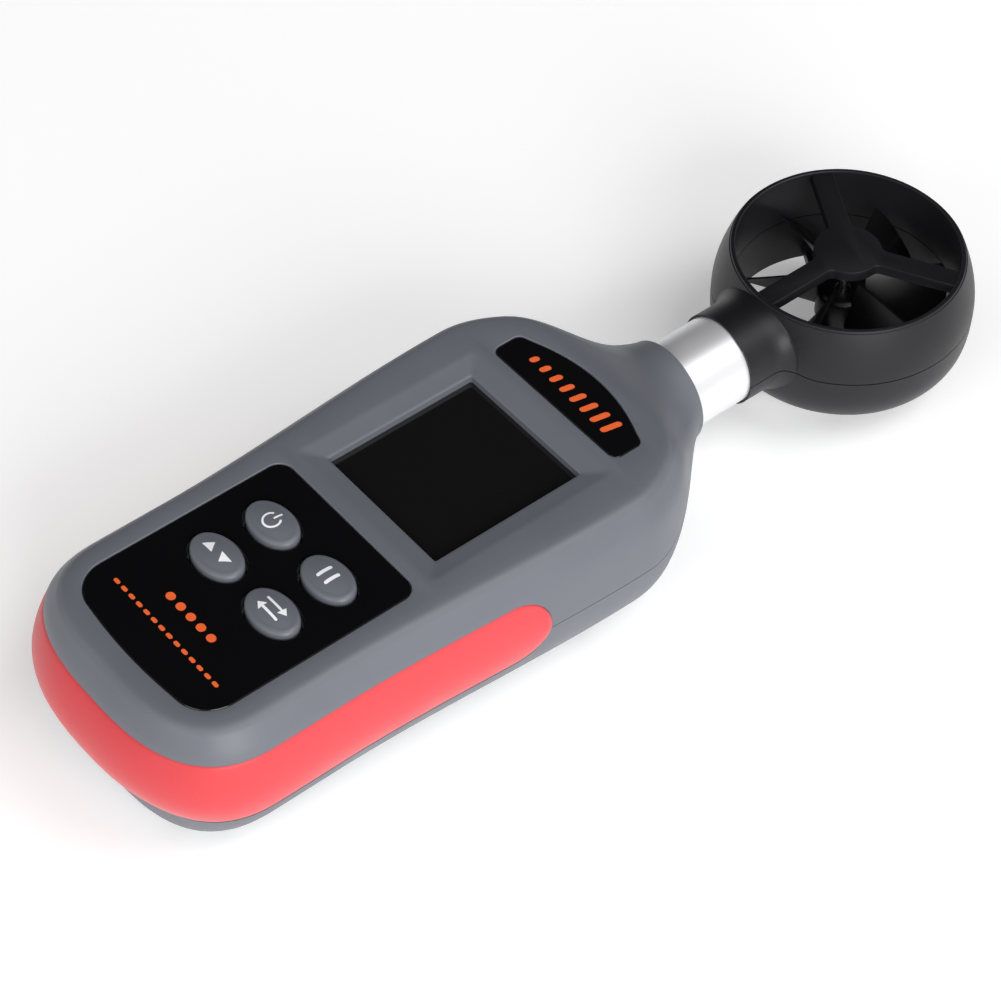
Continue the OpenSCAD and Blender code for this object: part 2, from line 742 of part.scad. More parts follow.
module head_form() {
    difference() {
        union() {
            ring_solid();
            neck_flare();
        }
        translate([0, vane_y, -1]) cylinder(r = duct_r, h = 40, $fn = 72);
        along_y(head_collar_y - 1, tube_outer_y + 0.1) circle(r = tube_r + head_bore_gap);
        // Pocket for the sensor board
        translate([-5, tube_outer_y - 0.5, ring_mid_z - 4]) cube([10, 1.6, 8.5]);
    }
}

// The two halves meet level round the ring, and rise to the neck's axis at the collar
module head_split(upper) {
    rise_from = 43.8;
    rise_to = 39.8;
    steps = 6;
    line = concat([[90, ring_mid_z]], [for (i = [0:steps]) let (u = i / steps)
        [mix(rise_from, rise_to, u), mix(ring_mid_z, split_z, smooth(u))]], [[30, split_z]]);
    far = upper ? 40 : -10;
    rotate([90, 0, 90]) translate([0, 0, -30]) linear_extrude(60)
        polygon(concat(line, [[30, far], [90, far]]));
}

module guard(top_z, disc) {
    translate([0, vane_y, top_z - guard_t]) linear_extrude(guard_t) {
        circle(r = disc);
        for (a = [30, 150, 270]) rotate(a) translate([0, -spoke_w / 2]) square([duct_r + 0.3, spoke_w]);
    }
}

module at_vane(z) {
    translate([0, vane_y, z]) children();
}

module head_front_shell() {
    color(black) {
        intersection() {
            head_form();
            head_split(true);
        }
        difference() {
            union() {
                guard(guard_top_z, disc_r);
                at_vane(guard_top_z - guard_t - bearing_t) cylinder(r = bearing_r + 0.9, h = bearing_t + eps);
            }
            at_vane(guard_top_z - guard_t - bearing_t - 1) cylinder(r = bearing_r, h = bearing_t + 1);
        }
    }
}

module head_rear_shell() {
    color(black) {
        intersection() {
            head_form();
            head_split(false);
        }
        difference() {
            union() {
                guard(guard_low_z + guard_t, rear_disc_r);
                at_vane(guard_low_z + guard_t - eps) cylinder(r = bearing_r + 0.7, h = bearing_t * 0.5);
            }
            at_vane(guard_low_z + 0.9) cylinder(r = bearing_r, h = 4);
            translate([-2.2, vane_y - 8.5, guard_low_z + guard_t - 0.9]) cube([4.4, 3.2, 3]);
        }
    }
}

upper_bearing_z = guard_top_z - guard_t - bearing_t;
lower_bearing_z = guard_low_z + 0.9;

module bearing(low) {
    color(gold) difference() {
        cylinder(r = bearing_r, h = bearing_t);
        translate([0, 0, low ? 0.5 : -1]) cylinder(r = spindle_r + pivot_gap, h = bearing_t + 0.5);
    }
}

module upper_bearing() at_vane(upper_bearing_z) bearing(false);
module lower_bearing() at_vane(lower_bearing_z) bearing(true);

module spindle() {
    low = lower_bearing_z + 0.55;
    color(steel) at_vane(low) cylinder(r = spindle_r, h = upper_bearing_z + bearing_t - 0.6 - low);
}

module impeller() {
    color([0.13, 0.13, 0.14]) difference() {
        union() {
            at_vane(hub_low_z) cylinder(r = hub_r, h = hub_high_z - hub_low_z);
            for (i = [0:blade_count - 1]) at_vane(blade_low_z) rotate(blade_phase + 360 * i / blade_count)
                linear_extrude(blade_h, twist = -blade_turn, slices = 5, segments = 1, $fn = 4)
                    translate([hub_r - 1, -blade_t / 2]) square([wheel_r - hub_r + 1, blade_t]);
        }
        at_vane(hub_low_z - 1) cylinder(r = spindle_r, h = 20);
        at_vane(hub_low_z - 1) cylinder(r = magnet_r, h = magnet_h + 1);
    }
}

module rotor_magnet() {
    color("dimgray") at_vane(hub_low_z) difference() {
        cylinder(r = magnet_r, h = magnet_h);
        translate([0, 0, -1]) cylinder(r = spindle_r, h = magnet_h + 2);
    }
}

module sensor_board() {
    color(board_green) translate([-4.5, tube_outer_y + 0.1, ring_mid_z - 3.5]) cube([9, 0.8, 7.5]);
}

module hall_sensor() {
    color(black) translate([-2, vane_y - 8.3, guard_low_z + guard_t - 0.85]) cube([4, 2.8, 1.3]);
}

module thermistor() {
    color("saddlebrown") translate([0, tube_outer_y - 1.2, ring_mid_z - 2]) sphere(r = 0.9);
}

module sensor_connector() {
    color("ivory") translate([-4, -1, pcb_low_z - 3.5]) cube([8, 5, 3.5]);
}

wire_r = 0.45;
module sensor_wires() {
    color("firebrick") for (x = [-1.6, 0, 1.6]) translate([x, 4, pcb_low_z - 2.2]) rotate([-90, 0, 0])
        cylinder(r = wire_r, h = tube_outer_y + 0.1 - 4, $fn = 16);
}

front_shell();
rear_shell();
bumper_grip();
button_panel();
badge_plate();
display_window();
lcd_glass();
lcd_holder();
elastomer_connectors();
main_pcb();
controller_chip();
crystal_can();
sensor_connector();
buzzer();
keypad_mat();
pcb_screws();
case_screws();
battery_cells();
battery_springs();
battery_contacts();
neck_tube();
sensor_wires();
head_front_shell();
head_rear_shell();
upper_bearing();
lower_bearing();
sensor_board();
hall_sensor();
thermistor();
battery_door();
impeller();
spindle();
rotor_magnet();
power_key();
hold_key();
minmax_key();
units_key();
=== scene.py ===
"""Handheld weather meter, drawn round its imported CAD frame.

The scene is in metres and the helpers take millimetres. +Y is towards the vane, +Z out of the face.
"""
import json
from math import atan2, cos, hypot, pi, radians, sin, sqrt

import bmesh
import bpy
from mathutils import Matrix, Vector


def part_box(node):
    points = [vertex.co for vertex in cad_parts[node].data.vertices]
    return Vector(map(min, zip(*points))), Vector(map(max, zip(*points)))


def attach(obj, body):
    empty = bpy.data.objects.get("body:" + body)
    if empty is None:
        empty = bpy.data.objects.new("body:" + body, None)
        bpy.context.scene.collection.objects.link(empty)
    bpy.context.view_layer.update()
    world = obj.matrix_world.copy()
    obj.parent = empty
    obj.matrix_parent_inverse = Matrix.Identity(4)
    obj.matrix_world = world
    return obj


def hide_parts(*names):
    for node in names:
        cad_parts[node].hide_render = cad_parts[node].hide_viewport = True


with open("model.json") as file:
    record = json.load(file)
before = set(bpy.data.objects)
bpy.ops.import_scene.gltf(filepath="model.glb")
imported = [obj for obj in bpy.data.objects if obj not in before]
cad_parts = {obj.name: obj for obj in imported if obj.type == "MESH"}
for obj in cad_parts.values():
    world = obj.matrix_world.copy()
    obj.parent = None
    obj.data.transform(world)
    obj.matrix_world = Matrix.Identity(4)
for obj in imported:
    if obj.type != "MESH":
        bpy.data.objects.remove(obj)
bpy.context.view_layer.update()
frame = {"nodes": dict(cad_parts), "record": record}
MM = 0.001

# ---- Places taken from the CAD frame, in millimetres ----------------------------------


def span(node, axis):
    """Lowest and highest value of a CAD node along one axis, in millimetres."""
    low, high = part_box(node)
    return low[axis] / MM, high[axis] / MM


def middle(node, axis):
    low, high = span(node, axis)
    return (low + high) / 2


SPLIT_Z = middle("neck_tube", 2)
FACE_Z = span("front_shell", 2)[1]
COLLAR_Y = span("front_shell", 1)[1]
FOOT_Y = span("front_shell", 1)[0]
GRIP_HIGH = span("bumper_grip", 2)[1]
GRIP_BAND_H = 12.0
GRIP_LOW = GRIP_HIGH - GRIP_BAND_H
GRIP_TIP_Y = span("bumper_grip", 1)[1]
GRIP_FOOT_PROUD = FOOT_Y - span("bumper_grip", 1)[0]
TUBE_R = 7.0
COLLAR_R = 8.2
WALL = 2.2
VANE_Y = middle("rotor_magnet", 1)
HEAD_COLLAR_Y = span("head_front_shell", 1)[0]
RING_R = span("head_front_shell", 0)[1]
RING_LOW = span("head_rear_shell", 2)[0]
RING_HIGH = span("head_front_shell", 2)[1]
RING_MID_Z = (RING_LOW + RING_HIGH) / 2
RING_HALF_H = (RING_HIGH - RING_LOW) / 2
DUCT_R = 17.0
LIP_W = 0.8
KEY_HALF_L = 4.8
KEY_HALF_H = 3.25
KEYS = {"power_key": "power_button", "hold_key": "hold_button",
        "minmax_key": "minmax_button", "units_key": "units_button"}


# ---- Small geometry helpers ------------------------------------------------------------
def smooth(u):
    c = min(1.0, max(0.0, u))
    return c * c * (3 - 2 * c)


def mix(a, b, u):
    return a + (b - a) * u


def power(value, exponent):
    return (1 if value >= 0 else -1) * abs(value) ** exponent


def spread(a, b, steps):
    """Evenly spaced values from a to b, both included."""
    return [mix(a, b, i / steps) for i in range(steps + 1)]


def arc(cx, cy, r, start, end, steps=10):
    """Points of an arc, angles in degrees."""
    return [(cx + r * cos(radians(a)), cy + r * sin(radians(a))) for a in spread(start, end, steps)]


def rotated(x, y, a):
    return x * cos(a) - y * sin(a), x * sin(a) + y * cos(a)


def inset(loop, d):
    """A counter-clockwise outline moved in by d along its own normals."""
    out = []
    n = len(loop)
    for i in range(n):
        (ax, ay), (bx, by), (cx, cy) = loop[i - 1], loop[i], loop[(i + 1) % n]
        e1, e2 = Vector((bx - ax, by - ay)), Vector((cx - bx, cy - by))
        n1 = Vector((-e1.y, e1.x)).normalized()
        n2 = Vector((-e2.y, e2.x)).normalized()
        m = (n1 + n2).normalized()
        reach = d / max(0.3, m.dot(n1))
        out.append((bx + m.x * reach, by + m.y * reach))
    return out


def make(name, points, faces, smooth_angle=32):
    """A mesh object from points in millimetres."""
    mesh = bpy.data.meshes.new(name)
    mesh.from_pydata([[c * MM for c in p] for p in points], [], faces)
    bm = bmesh.new()
    bm.from_mesh(mesh)
    bmesh.ops.remove_doubles(bm, verts=bm.verts, dist=1e-7)
    bmesh.ops.dissolve_degenerate(bm, edges=bm.edges, dist=1e-8)
    bmesh.ops.recalc_face_normals(bm, faces=bm.faces)
    bm.to_mesh(mesh)
    bm.free()
    return show(name, mesh, smooth_angle)


def show(name, mesh, smooth_angle):
    """Puts a mesh in the scene as an object."""
    obj = bpy.data.objects.new(name, mesh)
    bpy.context.scene.collection.objects.link(obj)
    shade(obj, smooth_angle)
    return obj


def shade(obj, angle):
    obj.data.polygons.foreach_set("use_smooth", [True] * len(obj.data.polygons))
    obj.data.set_sharp_from_angle(angle=radians(angle))


def skin(rows, closed_rows=True, caps=True):
    """Faces through rows of equal length. A closed row is a loop."""
    n, k = len(rows), len(rows[0])
    points = [p for row in rows for p in row]
    around = k if closed_rows else k - 1
    faces = [[i * k + j, i * k + (j + 1) % k, (i + 1) * k + (j + 1) % k, (i + 1) * k + j]
             for i in range(n - 1) for j in range(around)]
    if caps:
        faces += [list(range(k - 1, -1, -1)), [(n - 1) * k + j for j in range(k)]]
    return points, faces


def stack(name, levels, smooth_angle=32):
    """A closed solid through outlines at rising heights: levels is [(outline, z)]."""
    return make(name, *skin([[(x, y, z) for x, y in loop] for loop, z in levels]), smooth_angle)


def apply_modifiers(obj):
    evaluated = obj.evaluated_get(bpy.context.evaluated_depsgraph_get())
    mesh = bpy.data.meshes.new_from_object(evaluated)
    obj.modifiers.clear()
    obj.data = mesh


def combine(obj, others, operation="DIFFERENCE"):
    """Cuts, joins or crosses obj with the others, which are then removed."""
    for other in others:
        modifier = obj.modifiers.new("combine", "BOOLEAN")
        modifier.operation = operation
        modifier.object = other
        modifier.solver = "MANIFOLD"
        bpy.context.view_layer.update()
        apply_modifiers(obj)
        bpy.data.objects.remove(other)
    return obj


def clean(obj, angle=32):
    """Welds what the cuts left nearly touching, and shades the result."""
    bm = bmesh.new()
    bm.from_mesh(obj.data)
    bmesh.ops.remove_doubles(bm, verts=bm.verts, dist=2e-7)
    bmesh.ops.dissolve_degenerate(bm, edges=bm.edges, dist=2e-7)
    bm.to_mesh(obj.data)
    bm.free()
    shade(obj, angle)
    return obj


def turned(loop_points, z0):
    """A closed solid of revolution about the vane's axis: loop_points is [(r, z)]."""
    sides = 144
    k = len(loop_points)
    points = []
    faces = []
    for i in range(sides):
        a = 2 * pi * i / sides
        points += [(r * cos(a), VANE_Y + r * sin(a), z0 + z) for r, z in loop_points]
        here, after = i * k, (i + 1) % sides * k
        faces += [[here + j, after + j, after + (j + 1) % k, here + (j + 1) % k] for j in range(k)]
    return points, faces


# ---- Materials -------------------------------------------------------------------------
def new_material(name):
    material = bpy.data.materials.new(name)
    material.use_nodes = True
    nodes = material.node_tree.nodes
    return material, nodes, material.node_tree.links, nodes["Principled BSDF"]


def noise(nodes, links, coordinates, scale, detail, roughness=0.5):
    node = nodes.new("ShaderNodeTexNoise")
    node.inputs["Scale"].default_value = scale
    node.inputs["Detail"].default_value = detail
    node.inputs["Roughness"].default_value = roughness
    links.new(coordinates, node.inputs["Vector"])
    return node.outputs["Fac"]


def ramp(nodes, links, value, low, high):
    """Maps the usual spread of a noise value to the range low..high."""
    node = nodes.new("ShaderNodeMapRange")
    node.inputs["From Min"].default_value = 0.35
    node.inputs["From Max"].default_value = 0.65
    node.inputs["To Min"].default_value = low
    node.inputs["To Max"].default_value = high
    links.new(value, node.inputs["Value"])
    return node.outputs["Result"]


def tint(nodes, links, value, colour, spread):
    """The colour, a little darker and lighter with the value."""
    node = nodes.new("ShaderNodeMix")
    node.data_type = "RGBA"
    node.inputs["A"].default_value = [c * (1 - spread) for c in colour] + [1]
    node.inputs["B"].default_value = [min(1, c * (1 + spread)) for c in colour] + [1]
    links.new(value, node.inputs["Factor"])
    return node.outputs["Result"]


def surface(name, colour, rough, rough_spread=0.05, spread=0.04, grain=2600, bump=0.12, depth=0.00002,
            mottle=90, metallic=0.0, coat=0.0, stretch=(1, 1, 1), specular=0.5, sheen=0.0):
    """A moulded, turned or coated surface: mottled colour, uneven gloss and a fine grain."""
    material, nodes, links, shader = new_material(name)
    coordinates = nodes.new("ShaderNodeTexCoord")
    mapping = nodes.new("ShaderNodeMapping")
    mapping.inputs["Scale"].default_value = stretch
    links.new(coordinates.outputs["Object"], mapping.inputs["Vector"])
    place = mapping.outputs["Vector"]
    broad = noise(nodes, links, place, mottle, 4.0)
    fine = noise(nodes, links, place, grain, 2.0, 0.6)
    links.new(tint(nodes, links, broad, colour, spread), shader.inputs["Base Color"])
    gloss = ramp(nodes, links, broad, rough - rough_spread, rough + rough_spread)
    links.new(gloss, shader.inputs["Roughness"])
    shader.inputs["Metallic"].default_value = metallic
    shader.inputs["Specular IOR Level"].default_value = specular
    shader.inputs["Coat Weight"].default_value = coat
    shader.inputs["Coat Roughness"].default_value = 0.08
    shader.inputs["Sheen Weight"].default_value = sheen
    shader.inputs["Sheen Roughness"].default_value = 0.5
    bumps = nodes.new("ShaderNodeBump")
    bumps.inputs["Strength"].default_value = bump
    bumps.inputs["Distance"].default_value = depth
    links.new(fine, bumps.inputs["Height"])
    links.new(bumps.outputs["Normal"], shader.inputs["Normal"])
    return material


GREY = (0.125, 0.132, 0.155)
MATERIALS = {
    "shell_grey": surface("shell_grey", GREY, 0.46, grain=3600, bump=0.35),
    "grip_coral": surface("grip_coral", (0.6, 0.036, 0.045), 0.5, grain=3000, bump=0.25, sheen=0.15),
    "panel_black": surface("panel_black", (0.003, 0.003, 0.0035), 0.16, 0.03, grain=900, bump=0.03),
    "lens_dark": surface("lens_dark", (0.006, 0.006, 0.0065), 0.07, 0.02, grain=400, bump=0.01, coat=0.5),
    "lcd": surface("lcd", (0.03, 0.034, 0.034), 0.2, grain=1200, bump=0.05),
    "key_grey": surface("key_grey", GREY, 0.42, grain=2800, bump=0.22),
    "mat_rubber": surface("mat_rubber", (0.35, 0.36, 0.38), 0.6, bump=0.2),
    "white_plastic": surface("white_plastic", (0.75, 0.75, 0.72), 0.4),
    "elastomer": surface("elastomer", (0.45, 0.2, 0.25), 0.6, mottle=2500, spread=0.3),
    "board": surface("board", (0.015, 0.14, 0.05), 0.3, mottle=700, spread=0.25, coat=0.3),
    "chip_black": surface("chip_black", (0.02, 0.02, 0.021), 0.5, bump=0.3),
    "tin": surface("tin", (0.62, 0.62, 0.6), 0.25, metallic=1.0),
    "screw_steel": surface("screw_steel", (0.5, 0.5, 0.52), 0.3, metallic=1.0, grain=4000, bump=0.2),
    "cell_wrap": surface("cell_wrap", (0.05, 0.1, 0.32), 0.25, mottle=300, spread=0.12, coat=0.4),
    "contact_gold": surface("contact_gold", (0.75, 0.55, 0.25), 0.3, metallic=1.0),
    "tube_aluminium": surface("tube_aluminium", (0.83, 0.83, 0.85), 0.4, 0.06, grain=1500, bump=0.25,
                              metallic=0.6, stretch=(1, 0.12, 1)),
    "head_black": surface("head_black", (0.007, 0.007, 0.0092), 0.42, 0.04, grain=3000, bump=0.2,
                          specular=0.36),
    "wheel_black": surface("wheel_black", (0.0035, 0.0035, 0.004), 0.38, grain=2500, bump=0.12,
                           specular=0.3),
    "bearing_brass": surface("bearing_brass", (0.78, 0.6, 0.3), 0.25, metallic=1.0),
    "magnet": surface("magnet", (0.12, 0.12, 0.125), 0.5, metallic=0.6, bump=0.4),
    "wire_red": surface("wire_red", (0.5, 0.03, 0.03), 0.35),
    "bead_amber": surface("bead_amber", (0.3, 0.12, 0.03), 0.25, coat=0.4),
}
PRINT_WHITE = surface("print_white", (0.86, 0.86, 0.88), 0.45, mottle=1500, spread=0.05)
PRINT_ORANGE = surface("print_orange", (0.85, 0.13, 0.03), 0.45, mottle=1500, spread=0.08)


def dress(obj, slot_name, body="case", material=None, replaces=()):
    """Gives a piece its material and its body, and hides the CAD nodes it stands for."""
    obj.data.materials.clear()
    obj.data.materials.append(material or MATERIALS[slot_name])
    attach(obj, body)
    if replaces:
        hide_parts(*replaces)
    return obj


# ---- Body outline and shells -----------------------------------------------------------
FOOT_HALF_W = 22.3
SHOULDER_HALF_W = 24.7
CORNER_Y = -62.0
CORNER_POWER = 2.6
WAIST_START_Y, WAIST_END_Y = -52.0, -1.0
NECK_START_Y = -1.0
COLLAR_FLAT_Y = 21.0
BACK_ROUND_SIDE = 12.5
BACK_ROUND_FOOT = 8.0
SIDE_LEAN = 0.75
SIDE_LEAN_H = 7.2
CAVITY_FIRST_Y = 4.0
GROOVE = 0.09
CORNER_STEPS = 64


def half_width(y):
    """Half width of the shells along the body, from the corners to the collar."""
    if y > NECK_START_Y:
        reach = max(0.0, (COLLAR_Y - y) / (COLLAR_Y - NECK_START_Y))
        return mix(COLLAR_R, SHOULDER_HALF_W, smooth(reach ** 0.75))
    return mix(FOOT_HALF_W, SHOULDER_HALF_W, smooth((y - WAIST_START_Y) / (WAIST_END_Y - WAIST_START_Y)))


def roundness(y):
    """How far a section has turned from the body's flat form into the round collar."""
    return smooth((y - 8) / (COLLAR_FLAT_Y - 8))


# A rib runs in from the outline to the middle line. It is held as
# (outline point, middle point, place along the body, 0 at the side to 1 at the foot)
def side_rib(y, side):
    return ((side * half_width(y), y), (0.0, y), y, 0.0)


def corner_rib(a):
    x = FOOT_HALF_W * power(cos(a), 2 / CORNER_POWER)
    y = CORNER_Y + (FOOT_Y - CORNER_Y) * abs(sin(a)) ** (2 / CORNER_POWER)
    return ((x, y), (0.0, CORNER_Y), CORNER_Y, sin(a) ** 2)


def ribs_from(first, step=1.0):
    count = int((first - CORNER_Y) / step)
    side = spread(first, CORNER_Y, count)
    return ([side_rib(y, 1) for y in side]
            + [corner_rib(pi * i / CORNER_STEPS) for i in range(1, CORNER_STEPS)]
            + [side_rib(y, -1) for y in reversed(side)])


def at_inset(rib, d):
    """The plan point at distance d in from the rib's outline, and never past its middle."""
    return at_signed(rib, min(d, rib_length(rib)))


def rib_length(rib):
    return hypot(rib[0][0] - rib[1][0], rib[0][1] - rib[1][1])


# The side of the face as (inset, share of the height): a slight lean behind the grip,
# a slope above it, then an easy crown
FACE_KNOTS = [(0, 0), (0.17, 0.23), (0.86, 0.64), (2.6, 0.88), (3.4, 0.953), (4.2, 0.987), (5.4, 1)]
FACE_STEPS = 26
BACK_STEPS = 18


def through_knots(knots, u):
    """A Catmull-Rom curve through the knots, u from 0 to 1."""
    t = u * (len(knots) - 1)
    i = min(int(t), len(knots) - 2)
    f = t - i
    p = [knots[max(0, i - 1)], knots[i], knots[i + 1], knots[min(len(knots) - 1, i + 2)]]
    return tuple(0.5 * (2 * p[1][c] + (p[2][c] - p[0][c]) * f
                        + (2 * p[0][c] - 5 * p[1][c] + 4 * p[2][c] - p[3][c]) * f * f
                        + (3 * p[1][c] - p[0][c] - 3 * p[2][c] + p[3][c]) * f ** 3) for c in (0, 1))


def face_row(rib, thin, drop):
    run = rib_length(rib)
    turn = roundness(rib[2])
    high = mix(FACE_Z - SPLIT_Z, COLLAR_R, smooth((rib[2] - 10) / (COLLAR_FLAT_Y - 10))) - thin
    row = []
    for k in range(FACE_STEPS + 2):
        u = min(1.0, k / FACE_STEPS)
        d, h = through_knots(FACE_KNOTS, u)
        if k > FACE_STEPS:
            d, h = run, 1.0
        d, h = max(0.0, d), min(1.0, h)
        a = radians(90 * min(1.0, k / (FACE_STEPS + 1)))
        round_d = (run - thin) * (1 - cos(a))
        depth = thin + mix(d, round_d, turn) if k <= FACE_STEPS else run
        x, y = at_inset(rib, depth)
        z = high * mix(h, sin(a), turn)
        row.append((x, y, SPLIT_Z + (z if k else -drop)))
    return row


def back_row(rib, thin, drop):
    run = rib_length(rib)
    turn = roundness(rib[2])
    deep = mix(SPLIT_Z, COLLAR_R, smooth((rib[2] - 3) / (COLLAR_FLAT_Y - 3))) - thin
    round_in = mix(BACK_ROUND_SIDE, BACK_ROUND_FOOT, rib[3])
    reach = min(mix(round_in, run, turn) - thin, run - thin)
    row = []
    for k in range(BACK_STEPS + 2):
        a = radians(90 * min(1.0, k / BACK_STEPS))
        b = radians(90 * k / (BACK_STEPS + 1))
        flat_d, flat_z = thin + reach * (1 - cos(a)), deep * sin(a)
        if k > BACK_STEPS:
            flat_d, flat_z = run, deep
        d = mix(flat_d, thin + (run - thin) * (1 - cos(b)), turn)
        z = mix(flat_z, deep * sin(b), turn)
        x, y = at_inset(rib, run if k > BACK_STEPS else d)
        row.append((x, y, SPLIT_Z - (z if k else -drop)))
    return row


def form(name, row_of, first, thin=0.0, drop=0.0, step=1.0):
    """A closed solid through the ribs. Its end is a fan from the middle line."""
    rows = [row_of(rib, thin, drop) for rib in ribs_from(first, step)]
    points, faces = skin(rows, closed_rows=False, caps=False)
    n, k = len(rows), len(rows[0])
    faces.append([i * k for i in range(n)])
    far = (n - 1) * k
    faces += [[k - 1, far + j + 1, far + j] for j in range(k - 2)]
    faces += [[k - 1, far, 0]]
    faces += [[k - 1, j, j + 1] for j in range(k - 2)]
    return make(name, points, faces)


def groove_cutter():
    """A thin V all round at the split, which leaves the fine dark line between the halves."""
    section = ((-0.4, -GROOVE * 2.6), (-0.4, GROOVE * 2.6), (0.28, 0.0))
    rows = [[(*at_signed(rib, d), SPLIT_Z + z) for d, z in section] for rib in ribs_from(COLLAR_Y + 1.5)]
    return make("groove", *skin(rows))


def at_signed(rib, d):
    """As at_inset, but d may be negative, outside the outline."""
    (ax, ay), (bx, by) = rib[0], rib[1]
    u = d / rib_length(rib)
    return ax + (bx - ax) * u, ay + (by - ay) * u


GRIP_SEAT = 1.15
GRIP_PROUD = 0.5
GRIP_GAP = 0.07
GRIP_TIP_GAP = 0.15
GRIP_ROUND = 0.28
GRIP_STEPS = 22
GRIP_HALF_H = GRIP_BAND_H / 2
GRIP_MID_Z = (GRIP_LOW + GRIP_HIGH) / 2


def grip_half(y):
    """Half height of the grip's band, which ends in a round tip."""
    s = min(GRIP_HALF_H, max(0.0, GRIP_TIP_Y + GRIP_TIP_GAP - y))
    return sqrt(max(0.0, GRIP_HALF_H ** 2 - (GRIP_HALF_H - s) ** 2))


def grip_ribs():
    tip = [GRIP_TIP_Y - GRIP_HALF_H * (1 - cos(a)) for a in spread(0, pi / 2, 14)]
    count = 44
    side = tip + spread(tip[-1], CORNER_Y, count)[1:]
    return ([side_rib(y, 1) for y in side]
            + [corner_rib(pi * i / CORNER_STEPS) for i in range(1, CORNER_STEPS)]
            + [side_rib(y, -1) for y in reversed(side)])


def shell_inset(rib, z):
    """How far in the shells' side lies: a slight lean above the split, a round below it."""
    if z > SPLIT_Z:
        return SIDE_LEAN * ((z - SPLIT_Z) / SIDE_LEAN_H) ** 1.5
    low = (SPLIT_Z - z) / SPLIT_Z
    return mix(BACK_ROUND_SIDE, BACK_ROUND_FOOT, rib[3]) * (1 - sqrt(1 - low * low))


def grip_row(rib):
    """A closed section of the band: out along its bulged face, and back in its seat."""
    half = max(0.2, grip_half(rib[2]) - GRIP_GAP)
    proud = mix(GRIP_PROUD, GRIP_FOOT_PROUD, rib[3]) * min(1.0, half / 3)
    edge = min(0.5, half * 0.4)
    row = []
    for k in range(GRIP_STEPS + 1):
        u = -cos(pi * k / GRIP_STEPS)
        z = GRIP_MID_Z + half * u
        near = half * (1 - abs(u))
        lip = GRIP_ROUND * (1 - sqrt(max(0.0, 1 - (1 - min(1.0, near / edge)) ** 2)))
        depth = shell_inset(rib, z) - proud * (1 - u * u) + lip
        row.append((*at_signed(rib, depth), z))
    x, y = at_signed(rib, GRIP_SEAT)
    return row + [(x, y, GRIP_MID_Z + half), (x, y, GRIP_MID_Z - half)]


def build_grip():
    grip = make("soft_grip", *skin([grip_row(rib) for rib in grip_ribs()]), 40)
    dress(grip, "grip_coral", replaces=["bumper_grip"])


def seat_cutter():
    """The grip's seat: a flat-sided band with a round tip, down to one inset from the outline."""
    tip = GRIP_TIP_Y + GRIP_TIP_GAP - GRIP_HALF_H
    far = FOOT_Y - 5
    side = [(far, GRIP_LOW)] + arc(tip, GRIP_MID_Z, GRIP_HALF_H, -90, 90, 24) + [(far, GRIP_HIGH)]
    band = make("seat", *skin([[(x, y, z) for y, z in side] for x in (-30, 30)]))
    ribs = [side_rib(GRIP_TIP_Y + 2, 1)] + grip_ribs() + [side_rib(GRIP_TIP_Y + 2, -1)]
    plan = [at_signed(rib, GRIP_SEAT) for rib in ribs]
    return combine(band, [stack("seat_core", [(plan, GRIP_LOW - 4), (plan, GRIP_HIGH + 1)])])


def rod(name, r, y0, y1, z):
    """A round bar along Y."""
    sides = 72
    rows = [[(r * cos(2 * pi * j / sides), y, z + r * sin(2 * pi * j / sides)) for j in range(sides)]
            for y in (y0, y1)]
    return make(name, *skin(rows))


# ---- Face details ----------------------------------------------------------------------
PANEL_HALF_W = 15.3
PANEL_LOW, PANEL_HIGH = -71.0, -34.3
BADGE_HALF_W = 13.6
BADGE_LOW, BADGE_HIGH, BADGE_ARCH = 1.6, 7.2, 2.7
WINDOW_HALF_W = 12.0
WINDOW_LOW, WINDOW_HIGH = -29.0, -3.3
BEZEL_W = 3.2
BEZEL_DEPTH = 1.1
KEY_GAP = 0.35
INLAY = 0.5
GLASS_TOP = span("display_window", 2)[1]


def panel_plan():
    w, foot_r, head_r, bow = PANEL_HALF_W, 5.5, 2.5, 0.6
    low = PANEL_LOW + bow
    bottom = [(x, low - bow * (1 - (x / (w - foot_r)) ** 2))
              for x in spread(foot_r - w, w - foot_r, 12)[1:-1]]
    return (arc(w - head_r, PANEL_HIGH - head_r, head_r, 0, 90)
            + arc(head_r - w, PANEL_HIGH - head_r, head_r, 90, 180)
            + arc(foot_r - w, low + foot_r, foot_r, 180, 266, 16) + bottom
            + arc(w - foot_r, low + foot_r, foot_r, 274, 360, 16))


def badge_plan():
    w, r = BADGE_HALF_W, 1.5
    top = [(x, BADGE_HIGH + BADGE_ARCH * (1 - (x / (w - r)) ** 2))
           for x in spread(w - r, r - w, 24)[1:-1]]
    return (arc(w - r, BADGE_LOW + r, r, 270, 360) + arc(w - r, BADGE_HIGH - r, r, 0, 60) + top
            + arc(r - w, BADGE_HIGH - r, r, 120, 180) + arc(r - w, BADGE_LOW + r, r, 180, 270))


def window_plan(grow, corner):
    x = WINDOW_HALF_W + grow - corner
    low, high = WINDOW_LOW - grow + corner, WINDOW_HIGH + grow - corner
    corners = [(x, low, 270), (x, high, 0), (-x, high, 90), (-x, low, 180)]
    return [p for cx, cy, turn in corners for p in arc(cx, cy, corner, turn, turn + 90, 6)]


def oval(grow, place):
    steps = 72
    return [(place[0] + (KEY_HALF_L + grow) * cos(2 * pi * i / steps),
             place[1] + (KEY_HALF_H + grow) * sin(2 * pi * i / steps)) for i in range(steps)]


def key_place(node):
    return middle(node, 0), middle(node, 1)


